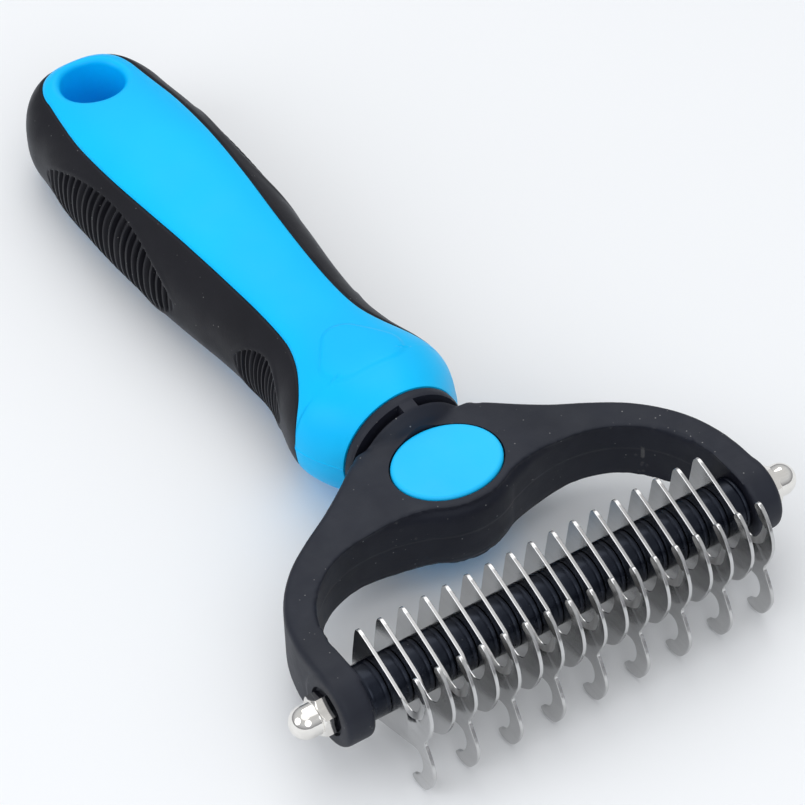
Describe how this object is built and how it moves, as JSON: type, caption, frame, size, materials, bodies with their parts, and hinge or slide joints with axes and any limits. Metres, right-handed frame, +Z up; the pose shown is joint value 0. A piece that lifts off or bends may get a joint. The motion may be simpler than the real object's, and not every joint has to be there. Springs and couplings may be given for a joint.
{
  "type": "undercoat rake",
  "caption": "Double-sided pet grooming rake: curved steel blades with upper teeth and lower hooks on a shaft held by a yoke and a rubber-sided handle.",
  "frame": {"origin": "bottom centre of the bounding box, on the surface that the tool rests on", "axes": "+X along the blade shaft, +Y from the rake head to the butt of the handle, +Z up; the tool rests on its lower hooks and on the butt"},
  "size_m": [0.1074, 0.188, 0.0275],
  "materials": {
    "core_blue": "satin",
    "cap_blue": "satin",
    "grip_rubber": "matte",
    "yoke_black": "fine matte texture",
    "spacer_black": "gloss",
    "blade_steel": "fine brushed",
    "nickel": "polished"
  },
  "bodies": {
    "root": {"handle_core": "core_blue", "handle_grip": "grip_rubber", "yoke": "yoke_black", "hub_cap_top": "cap_blue", "hub_cap_bottom": "cap_blue", "blade_01": "blade_steel", "blade_02": "blade_steel", "blade_03": "blade_steel", "blade_04": "blade_steel", "blade_05": "blade_steel", "blade_06": "blade_steel", "blade_07": "blade_steel", "blade_08": "blade_steel", "blade_09": "blade_steel", "blade_10": "blade_steel", "blade_11": "blade_steel", "blade_12": "blade_steel", "blade_13": "blade_steel", "blade_14": "blade_steel", "blade_15": "blade_steel", "blade_16": "blade_steel", "blade_17": "blade_steel", "spacer_01": "spacer_black", "spacer_02": "spacer_black", "spacer_03": "spacer_black", "spacer_04": "spacer_black", "spacer_05": "spacer_black", "spacer_06": "spacer_black", "spacer_07": "spacer_black", "spacer_08": "spacer_black", "spacer_09": "spacer_black", "spacer_10": "spacer_black", "spacer_11": "spacer_black", "spacer_12": "spacer_black", "spacer_13": "spacer_black", "spacer_14": "spacer_black", "spacer_15": "spacer_black", "spacer_16": "spacer_black", "spacer_17": "spacer_black", "spacer_18": "spacer_black", "shaft": "nickel", "cap_nut_left": "nickel", "cap_nut_right": "nickel"}
  },
  "joints": []
}
